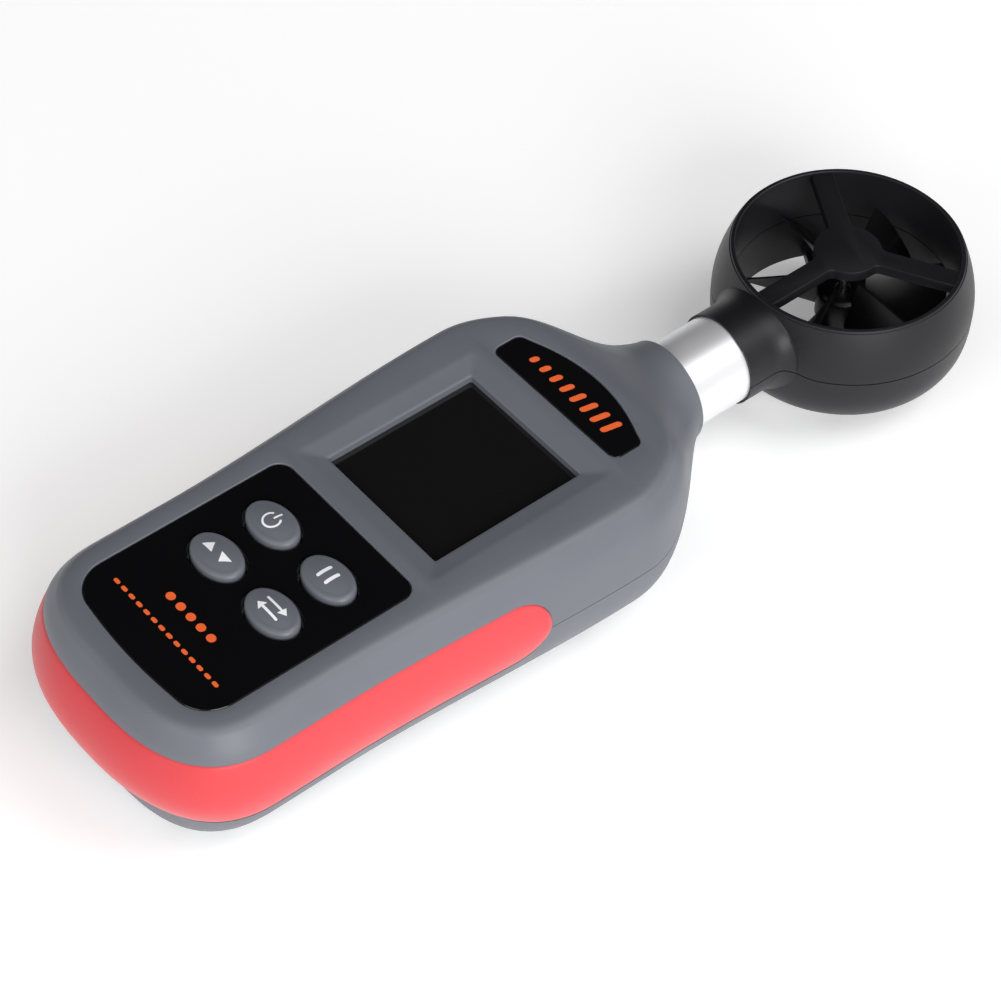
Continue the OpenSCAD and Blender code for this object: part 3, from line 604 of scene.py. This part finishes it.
def recess_cutter(plan, depth, lip=0.14):
    """A recess whose top edge is rounded outward by lip."""
    levels = [(plan, FACE_Z - depth)]
    for a in spread(0, pi / 2, 4):
        levels.append((inset(plan, -lip * (1 - cos(a))), FACE_Z - lip + lip * sin(a)))
    levels.append((inset(plan, -lip), FACE_Z + 1.0))
    return stack("recess", levels)


def frame_cutter():
    """The sloping frame round the display, with soft edges at its top and foot."""
    outer, deep = BEZEL_W, BEZEL_DEPTH
    knots = [(0.0, 0.0), (0.0, 0.16), (0.12, 0.26), (0.5, 0.34), (outer - 0.5, deep - 0.13),
             (outer - 0.1, deep - 0.03), (outer + 0.35, deep)]
    levels = [(window_plan(0, 0.35), FACE_Z - deep - 2.2)]
    for grow, rise in knots:
        levels.append((window_plan(grow, 0.35 + grow * 0.25), FACE_Z - deep + rise))
    levels.append((window_plan(outer + 0.6, 1.4), FACE_Z + 1.0))
    return stack("frame_cut", levels)


def build_front_shell():
    shell = form("front_case", face_row, COLLAR_Y)
    cavity = form("cavity", face_row, CAVITY_FIRST_Y, WALL, 1.0, 2.0)
    lens = window_plan(1.9, 0.5)
    cutters = [cavity, groove_cutter(), seat_cutter(), recess_cutter(panel_plan(), INLAY),
               recess_cutter(badge_plan(), INLAY), frame_cutter(),
               stack("lens_seat", [(lens, FACE_Z - WALL - 1), (lens, GLASS_TOP)]),
               rod("bore", TUBE_R + 0.05, 2, COLLAR_Y + 2, SPLIT_Z)]
    for node in KEYS:
        hole = oval(KEY_GAP, key_place(node))
        cutters.append(stack("key_hole", [(hole, FACE_Z - WALL - 2), (hole, FACE_Z + 1)]))
    combine(shell, cutters)
    dress(clean(shell), "shell_grey", replaces=["front_shell"])


# The bay and the door's opening have the same sizes as in the CAD shell
BAY_HALF_W = 16.1
BAY_LOW, BAY_HIGH = -68.8, -19.6
BAY_ROOF = 12.9
BAY_WALL = 1.2
DOOR_HALF_W = 16.0
DOOR_LOW, DOOR_HIGH = -67.2, -21.0
DOOR_GAP = 0.25
DOOR_CORNER_R = 3.0
NOTCH_R = 4.5
CASE_SCREWS = [(-10, -71.8), (10, -71.8), (-18.6, -8), (18.6, -8)]
SCREW_WELL_R = 1.7
SCREW_WELL_TOP = 9.2


def build_rear_shell():
    shell = form("rear_case", back_row, COLLAR_Y)
    cavity = form("cavity", back_row, CAVITY_FIRST_Y, WALL - 0.4, 1.0, 2.0)
    out_x = BAY_HALF_W + BAY_WALL
    block = box_solid("bay_block", (-out_x, BAY_LOW - BAY_WALL, -1),
                      (out_x, BAY_HIGH + BAY_WALL, BAY_ROOF + BAY_WALL))
    combine(cavity, [block])
    door = door_plan(DOOR_HALF_W + DOOR_GAP, DOOR_LOW - DOOR_GAP, DOOR_HIGH + DOOR_GAP, DOOR_CORNER_R)
    notch = ball("notch", (0, DOOR_HIGH, -3.6), NOTCH_R)
    cutters = [cavity, groove_cutter(), seat_cutter(), rod("bore", TUBE_R + 0.05, 2, COLLAR_Y + 2, SPLIT_Z),
               box_solid("bay", (-BAY_HALF_W, BAY_LOW, 1.7), (BAY_HALF_W, BAY_HIGH, BAY_ROOF)),
               stack("door_hole", [(door, -1.0), (door, 7.3)]), notch]
    for x, y in CASE_SCREWS:
        ring = arc(x, y, SCREW_WELL_R, 0, 350, 35)
        cutters.append(stack("screw_well", [(ring, -1.0), (ring, SCREW_WELL_TOP)]))
    combine(shell, cutters)
    dress(clean(shell), "shell_grey", replaces=["rear_shell"])


def door_plan(x, low, high, r):
    return (arc(x - r, high - r, r, 0, 90) + arc(r - x, high - r, r, 90, 180) + [(-x, low), (x, low)])


def box_solid(name, low, high):
    plan = [(low[0], low[1]), (high[0], low[1]), (high[0], high[1]), (low[0], high[1])]
    return stack(name, [(plan, low[2]), (plan, high[2])])


def ball(name, centre, r):
    sides = 48
    rows = []
    for i in range(1, 24):
        a = pi * i / 24
        ring = arc(centre[0], centre[1], r * sin(a), 0, 360 * (sides - 1) / sides, sides - 1)
        rows.append([(x, y, centre[2] - r * cos(a)) for x, y in ring])
    return make(name, *skin(rows))


# ---- Printed marks, all generic --------------------------------------------------------
def bar(cx, cy, w, h, lean=0.0):
    """A short bar with rounded ends."""
    r = min(w, h) / 2
    if w >= h:
        loop = arc(cx + w / 2 - r, cy, r, -90, 90, 6) + arc(cx - w / 2 + r, cy, r, 90, 270, 6)
    else:
        loop = arc(cx, cy + h / 2 - r, r, 0, 180, 6) + arc(cx, cy - h / 2 + r, r, 180, 360, 6)
    return [(x + lean * (y - cy), y) for x, y in loop]


def triangle(cx, cy, size, up):
    s = size if up else -size
    loop = [(cx - size, cy - s * 0.55), (cx + size, cy - s * 0.55), (cx, cy + s * 0.75)]
    return loop if up else loop[::-1]


def thick_arc(cx, cy, r, w, start, end):
    steps = 30
    return arc(cx, cy, r + w / 2, start, end, steps) + arc(cx, cy, r - w / 2, end, start, steps)


def print_marks(name, loops, height_at, material, body, slot_name):
    """Thin ink that follows a surface: each loop is filled, then lifted onto height_at."""
    bm = bmesh.new()
    for loop in loops:
        ring = [bm.verts.new((x, y, 0)) for x, y in loop]
        bm.faces.new(ring)
    bmesh.ops.triangulate(bm, faces=bm.faces)
    for _ in range(2):
        bmesh.ops.subdivide_edges(bm, edges=bm.edges, cuts=1, use_grid_fill=True)
    solid = bmesh.ops.extrude_face_region(bm, geom=bm.faces[:])
    top = [g for g in solid["geom"] if isinstance(g, bmesh.types.BMVert)]
    for v in bm.verts:
        v.co.z = height_at(v.co.x, v.co.y) - 0.04
    for v in top:
        v.co.z += 0.06
    bmesh.ops.scale(bm, vec=(MM, MM, MM), verts=bm.verts)
    bmesh.ops.recalc_face_normals(bm, faces=bm.faces)
    mesh = bpy.data.meshes.new(name)
    bm.to_mesh(mesh)
    bm.free()
    dress(show(name, mesh, 30), slot_name, body, material)


# ---- Keys ------------------------------------------------------------------------------
KEY_TOP = span("power_key", 2)[1]
KEY_LOW = span("power_key", 2)[0]
KEY_ROUND = 0.95
KEY_ROUND_H = KEY_ROUND * 0.75
KEY_CROWN = 0.42
KEY_FLANGE = 0.45
KEY_FLANGE_T = 1.1
KEY_SIDE_IN = 0.1
KEY_DOME_IN = KEY_SIDE_IN + KEY_ROUND


def build_key(node, body, marks):
    """An oval cap on a flange: a rounded shoulder, then a domed top with its mark."""
    place = key_place(node)
    flange, side = oval(KEY_FLANGE, place), oval(-KEY_SIDE_IN, place)
    flange_top = KEY_LOW + KEY_FLANGE_T
    rim = KEY_TOP - KEY_CROWN
    levels = [(flange, KEY_LOW), (flange, flange_top), (side, flange_top), (side, rim - KEY_ROUND_H)]
    for a in spread(0, pi / 2, 8)[1:]:
        shoulder = oval(-KEY_SIDE_IN - KEY_ROUND * (1 - cos(a)), place)
        levels.append((shoulder, rim - KEY_ROUND_H * (1 - sin(a))))
    for i in range(1, 14):
        u = 1 - i / 14
        loop = [(place[0] + (x - place[0]) * u, place[1] + (y - place[1]) * u)
                for x, y in oval(-KEY_DOME_IN, place)]
        levels.append((loop, mix(KEY_TOP, rim, u * u)))
    key = stack(node + "_cap", levels, 50)
    dress(key, "key_grey", body, replaces=[node])

    def height_at(x, y):
        u = hypot((x - place[0]) / (KEY_HALF_L - KEY_DOME_IN), (y - place[1]) / (KEY_HALF_H - KEY_DOME_IN))
        return mix(KEY_TOP, rim, min(1.0, u) ** 2)
    loops = [[(x + place[0], y + place[1]) for x, y in loop] for loop in marks]
    print_marks(node + "_mark", loops, height_at, PRINT_WHITE, body, "key_grey")


def build_keys():
    marks = {
        "power_key": [thick_arc(0, -0.15, 1.25, 0.3, 128, 412), bar(0, 0.95, 0.3, 1.5)],
        "hold_key": [bar(-0.85, 0, 0.55, 2.6), bar(0.85, 0, 0.55, 2.6)],
        "minmax_key": [triangle(-1.5, 0, 1.1, True), triangle(1.5, 0, 1.1, False)],
        "units_key": [bar(-0.45, 0.75, 3.2, 0.38), triangle_right(1.5, 0.75, 0.75),
                      bar(0.45, -0.75, 3.2, 0.38), triangle_left(-1.5, -0.75, 0.75)],
    }
    for node, body in KEYS.items():
        build_key(node, body, marks[node])


def triangle_right(cx, cy, size):
    return [(cx - size * 0.5, cy - size), (cx + size, cy), (cx - size * 0.5, cy + size)]


def triangle_left(cx, cy, size):
    return [(cx + size * 0.5, cy + size), (cx - size, cy), (cx + size * 0.5, cy - size)]


# ---- Panel, plate and lens -------------------------------------------------------------
def sheet_piece(name, plan, low, high, slot_name, node, holes=(), edge=0.08):
    piece = stack(name, [(plan, low), (plan, high - edge), (inset(plan, edge), high)])
    if holes:
        combine(piece, holes)
    dress(clean(piece, 25), slot_name, replaces=[node])


def build_inlays():
    low, high = span("button_panel", 2)
    holes = []
    for node in KEYS:
        hole = oval(KEY_GAP, key_place(node))
        holes.append(stack("hole", [(hole, low - 1), (hole, high + 1)]))
    sheet_piece("key_panel", inset(panel_plan(), 0.12), low, high, "panel_black", "button_panel", holes)
    low, high = span("badge_plate", 2)
    sheet_piece("name_plate", inset(badge_plan(), 0.12), low, high, "panel_black", "badge_plate")
    low, high = span("display_window", 2)
    sheet_piece("display_lens", window_plan(1.75, 0.4), low, high, "lens_dark", "display_window", edge=0.1)


def build_prints():
    """Generic orange marks: a rising wind scale on the plate, and two plain rows on the panel."""
    panel_top = span("button_panel", 2)[1]
    plate_top = span("badge_plate", 2)[1]
    scale = [bar(mix(-8.4, 8.4, i / 7), 5.4, 1.0, 1.5 + 0.26 * i, 0.2) for i in range(8)]
    print_marks("plate_marks", scale, lambda x, y: plate_top, PRINT_ORANGE, "case", "panel_black")
    rows = [bar(mix(-4.6, 4.6, i / 4), -60.8, 1.5, 1.3) for i in range(5)]
    rows += [bar(mix(-11.2, 11.2, i / 13), -64.9, 1.15, 0.6) for i in range(14)]
    print_marks("panel_marks", rows, lambda x, y: panel_top, PRINT_ORANGE, "case", "panel_black")


# ---- Head ------------------------------------------------------------------------------
GUARD_T = 1.7
GUARD_SINK = 0.15
REAR_GUARD_SINK = 0.9
SPOKE_HALF = 1.7
HEAD_NECK_R = 7.4
NECK_BLEND_R = 4.0
NECK_BLEND_Y = VANE_Y - sqrt((RING_R + NECK_BLEND_R) ** 2 - (HEAD_NECK_R + NECK_BLEND_R) ** 2)
UNDER_BLEND_R = 5.0
UNDER_BLEND_Y = 37.9
BLEND_END_Y = 41.9
SPLIT_GAP = 0.09
SPLIT_RISE_FROM, SPLIT_RISE_TO = 43.8, 39.8
BORE_END_Y = 41.1
SPOKE_ANGLES = (30, 150, 270)


def ring_section():
    """Barrel outside, straight duct inside, with a small round at each mouth."""
    outside = []
    for i in range(49):
        u = -1 + 2 * i / 48
        outside.append((mix(RING_R, DUCT_R + LIP_W, abs(u) ** (1.8 if u > 0 else 3.5)), RING_HALF_H * u))
    round_r = 0.32
    top = RING_HALF_H
    lip_r = DUCT_R + LIP_W
    outside[-1] = (lip_r + 0.02, top - round_r)
    outside[0] = (lip_r + 0.02, round_r - top)
    inner = [(DUCT_R, top - round_r), (DUCT_R, round_r - top)]
    mouth = [(lip_r - 0.1, top - 0.06), (lip_r - 0.3, top), (DUCT_R + 0.2, top), (DUCT_R + 0.05, top - 0.1)]
    foot = [(r, -z) for r, z in reversed(mouth)]
    return outside + mouth + inner + foot


def swing(y, start, r):
    """How far an arc of radius r has swung out, from its start."""
    run = max(0.0, min(y, BLEND_END_Y) - start)
    return r - sqrt(r * r - run * run)


def neck_row(y):
    """The head's neck: tube-sized, then blended out into the ring at its sides and underneath."""
    w = HEAD_NECK_R + swing(y, NECK_BLEND_Y, NECK_BLEND_R)
    under = HEAD_NECK_R + swing(y, UNDER_BLEND_Y, UNDER_BLEND_R)
    sides = 128
    turns = [2 * pi * j / sides for j in range(sides)]
    return [(w * cos(a), y, SPLIT_Z + (under if sin(a) < 0 else HEAD_NECK_R) * sin(a)) for a in turns]


def head_form(name):
    ring = make(name, *turned(ring_section(), RING_MID_Z))
    count = 40
    rows = [neck_row(y) for y in spread(HEAD_COLLAR_Y, BLEND_END_Y, count) + [44.0]]
    flare = make("flare", *skin(rows))
    duct = make("duct", *skin([[(x, y, z) for x, y in arc(0, VANE_Y, DUCT_R, 0, 357.5, 143)]
                               for z in (RING_LOW - 2, RING_HIGH + 2)]))
    combine(flare, [duct, rod("bore", TUBE_R + 0.04, HEAD_COLLAR_Y - 1, BORE_END_Y, SPLIT_Z)])
    combine(ring, [rod("bore", TUBE_R + 0.04, HEAD_COLLAR_Y - 1, BORE_END_Y, SPLIT_Z)])
    return combine(ring, [flare], "UNION")


def head_split(upper):
    """The half above or below the wavy parting surface, less a hair's breadth."""
    gap = SPLIT_GAP if upper else -SPLIT_GAP
    line = [(90, RING_MID_Z + gap)]
    for u in spread(0, 1, 16):
        y = mix(SPLIT_RISE_FROM, SPLIT_RISE_TO, u)
        line.append((y, mix(RING_MID_Z, SPLIT_Z, smooth(u)) + gap))
    line.append((20, SPLIT_Z + gap))
    far = 60 if upper else -30
    side = line + [(20, far), (90, far)]
    return make("split", *skin([[(x, y, z) for y, z in side] for x in (-30, 30)]))


def guard_plan(disc_r, fillet):
    """A disc and three spokes, with a round fillet in each corner."""
    lift = SPOKE_HALF + fillet
    run = sqrt((disc_r + fillet) ** 2 - lift ** 2)
    turn = atan2(lift, run)
    third = radians(120)
    end = DUCT_R + 0.4
    # One third of the outline, in the frame of its spoke
    part = [(end, -SPOKE_HALF), (end, SPOKE_HALF)]
    part += [(run + fillet * cos(a), lift + fillet * sin(a)) for a in spread(-pi / 2, turn - pi, 8)]
    part += [(disc_r * cos(a), disc_r * sin(a)) for a in spread(turn, third - turn, 12)[1:-1]]
    part += [rotated(run + fillet * cos(a), fillet * sin(a) - lift, third)
             for a in spread(pi - turn, pi / 2, 8)]
    loop = []
    for spoke in SPOKE_ANGLES:
        for x, y in part:
            across, along = rotated(x, y, radians(spoke))
            loop.append((across, VANE_Y + along))
    return loop


def build_head():
    plans = {True: guard_plan(5.2, 1.2), False: guard_plan(3.6, 1.6)}
    for upper, node in ((True, "head_front_shell"), (False, "head_rear_shell")):
        half = combine(head_form(node + "_skin"), [head_split(upper)], "INTERSECT")
        plan = plans[upper]
        if upper:
            top = RING_HIGH - GUARD_SINK
            levels = [(plan, top - GUARD_T), (plan, top - 0.22),
                      (inset(plan, 0.07), top - 0.06), (inset(plan, 0.2), top)]
        else:
            low = RING_LOW + REAR_GUARD_SINK
            levels = [(inset(plan, 0.2), low), (inset(plan, 0.07), low + 0.06),
                      (plan, low + 0.22), (plan, low + GUARD_T)]
        combine(half, [stack("guard", levels)], "UNION")
        dress(clean(half, 30), "head_black", replaces=[node])


# ---- Vane wheel ------------------------------------------------------------------------
BLADE_COUNT = 6
BLADE_PHASE = 88
BLADE_TURN = 30
BLADE_T = 0.7
WHEEL_R = 15.7
HUB_R = 3.9
HUB_TOP_Z = 14.2
SPINDLE_BORE_R = 0.62


def hub_section(h):
    """Half section of the hub, h high, with rounded shoulders and a shallow dish round its bore."""
    return [(SPINDLE_BORE_R, 0.0), (HUB_R - 0.25, 0.0), (HUB_R, 0.25), (HUB_R, h - 0.9),
            (HUB_R - 0.25, h - 0.4), (HUB_R - 0.8, h - 0.1), (HUB_R - 1.4, h), (1.3, h),
            (1.1, h - 0.15), (SPINDLE_BORE_R, h - 0.15)]


def blade_row(u, start, low, high):
    """A blade's section at u of its height. It turns as it rises, and thins to its edges."""
    a = start + radians(BLADE_TURN * u)
    tip = WHEEL_R - 0.5 * (2 * u - 1) ** 4
    half = BLADE_T / 2 * (0.55 + 0.45 * (1 - (2 * u - 1) ** 6))
    root = HUB_R - 0.6
    outline = [(root, -half), (tip - 0.2, -half), (tip, -half * 0.5),
               (tip, half * 0.5), (tip - 0.2, half), (root, half)]
    points = [rotated(x, y, a) for x, y in outline]
    return [(x, VANE_Y + y, mix(low, high, u)) for x, y in points]


def build_wheel():
    low, high = span("impeller", 2)
    wheel = make("vane_wheel_form", *turned(hub_section(HUB_TOP_Z - low), low))
    for n in range(BLADE_COUNT):
        start = radians(BLADE_PHASE + 360 / BLADE_COUNT * n)
        rows = [blade_row(u, start, low + 0.6, high) for u in spread(0, 1, 20)]
        combine(wheel, [make("blade", *skin(rows))], "UNION")
    dress(clean(wheel, 35), "wheel_black", "vane_wheel", replaces=["impeller"])


# ---- Neck tube -------------------------------------------------------------------------
TUBE_WALL = 0.8
FLANGE_R = 8.0
FLANGE_T = 1.2


def build_tube():
    y0, y1 = span("neck_tube", 1)
    sides = 96
    inner = TUBE_R - TUBE_WALL
    profile = [(FLANGE_R, y0), (FLANGE_R, y0 + FLANGE_T), (TUBE_R, y0 + FLANGE_T), (TUBE_R, y1 - 0.2),
               (TUBE_R - 0.2, y1), (inner, y1), (inner, y0)]
    rows = [[(r * cos(2 * pi * j / sides), y, SPLIT_Z + r * sin(2 * pi * j / sides)) for j in range(sides)]
            for r, y in profile + profile[:1]]
    tube = make("neck_sleeve", *skin(rows, caps=False))
    dress(tube, "tube_aluminium", replaces=["neck_tube"])


# ---- Carried-over CAD nodes ------------------------------------------------------------
def finish_cad_nodes():
    """Gives every CAD node its material. Nodes without a piece of their own are shown as they are."""
    slots = {s["node"]: s["material_slot"] for s in frame["record"]["subparts"]}
    for node, obj in frame["nodes"].items():
        obj.data.materials.clear()
        obj.data.materials.append(MATERIALS[slots[node]])


# ---- Stage, lights and camera ----------------------------------------------------------
FLOOR_HALF = 4000
FLOOR_Z = -0.02
FLOOR_GLOW = 0.22


def build_stage():
    ends = (-FLOOR_HALF, FLOOR_HALF)
    rows = [[(x, y, FLOOR_Z) for y in ends] for x in ends]
    floor = make("floor", *skin(rows, closed_rows=False, caps=False))
    material = surface("floor_white", (0.93, 0.93, 0.93), 0.7, mottle=3, spread=0.01, grain=60, bump=0.02)
    shader = material.node_tree.nodes["Principled BSDF"]
    shader.inputs["Emission Color"].default_value = (1, 1, 1, 1)
    shader.inputs["Emission Strength"].default_value = FLOOR_GLOW
    floor.data.materials.append(material)


VIEW_AZIMUTH = 49.444
VIEW_ELEVATION = 48.421
VIEW_ROLL = 1.688
VIEW_DISTANCE = 439.656
VIEW_TARGET = (0.919, -8.211, 13.72)
VIEW_LENS = 110.73
CARD_DIRECTION = (-0.50, 0.43, 0.75)
LIGHT_TARGET = (0, 0, 0.01)


def build_camera():
    a, e, r = radians(VIEW_AZIMUTH), radians(VIEW_ELEVATION), radians(VIEW_ROLL)
    back = Vector((sin(a) * cos(e), -cos(a) * cos(e), sin(e)))
    right = Vector((cos(a), sin(a), 0))
    up = back.cross(right)
    camera_x = right * cos(r) + up * sin(r)
    camera_y = up * cos(r) - right * sin(r)
    place = Vector(VIEW_TARGET) + back * VIEW_DISTANCE
    data = bpy.data.cameras.new("camera")
    data.sensor_width = 36
    data.lens = VIEW_LENS
    data.clip_start = 0.01
    camera = bpy.data.objects.new("camera", data)
    columns = Matrix((camera_x, camera_y, back)).transposed().to_4x4()
    camera.matrix_world = Matrix.Translation(place * MM) @ columns
    bpy.context.scene.collection.objects.link(camera)
    bpy.context.scene.camera = camera


def area_light(name, place, size, energy):
    """A soft box aimed at the middle of the meter. Place and size in metres."""
    data = bpy.data.lights.new(name, "AREA")
    data.shape = "RECTANGLE"
    data.size, data.size_y = size
    data.energy = energy
    lamp = bpy.data.objects.new(name, data)
    lamp.location = place
    lamp.rotation_euler = (Vector(LIGHT_TARGET) - Vector(place)).to_track_quat("-Z", "Y").to_euler()
    bpy.context.scene.collection.objects.link(lamp)


def build_world():
    """A soft white room with a dark card high up at the far side, which the gloss parts mirror."""
    world = bpy.data.worlds.new("studio")
    world.use_nodes = True
    nodes, links = world.node_tree.nodes, world.node_tree.links
    place = nodes.new("ShaderNodeTexCoord")
    toward = nodes.new("ShaderNodeVectorMath")
    toward.operation = "DOT_PRODUCT"
    toward.inputs[1].default_value = CARD_DIRECTION
    links.new(place.outputs["Generated"], toward.inputs[0])
    level = nodes.new("ShaderNodeMapRange")
    level.interpolation_type = "SMOOTHSTEP"
    level.inputs["From Min"].default_value = 0.55
    level.inputs["From Max"].default_value = 0.86
    level.inputs["To Min"].default_value = 0.62
    level.inputs["To Max"].default_value = 0.015
    links.new(toward.outputs["Value"], level.inputs["Value"])
    links.new(level.outputs["Result"], nodes["Background"].inputs["Strength"])
    nodes["Background"].inputs["Color"].default_value = (1, 1, 1, 1)
    bpy.context.scene.world = world


def build_lights():
    area_light("side_light", (0.85, -0.25, 0.42), (0.6, 0.5), 6.5)
    area_light("foot_light", (0.15, -0.9, 0.5), (0.5, 0.4), 1.5)
    area_light("top_light", (0.45, 0.35, 0.9), (0.6, 0.6), 3.2)
    bpy.context.scene.view_settings.view_transform = "Standard"


build_front_shell()
build_rear_shell()
build_grip()
build_keys()
build_inlays()
build_prints()
build_head()
build_wheel()
build_tube()
finish_cad_nodes()
build_stage()
build_camera()
build_world()
build_lights()
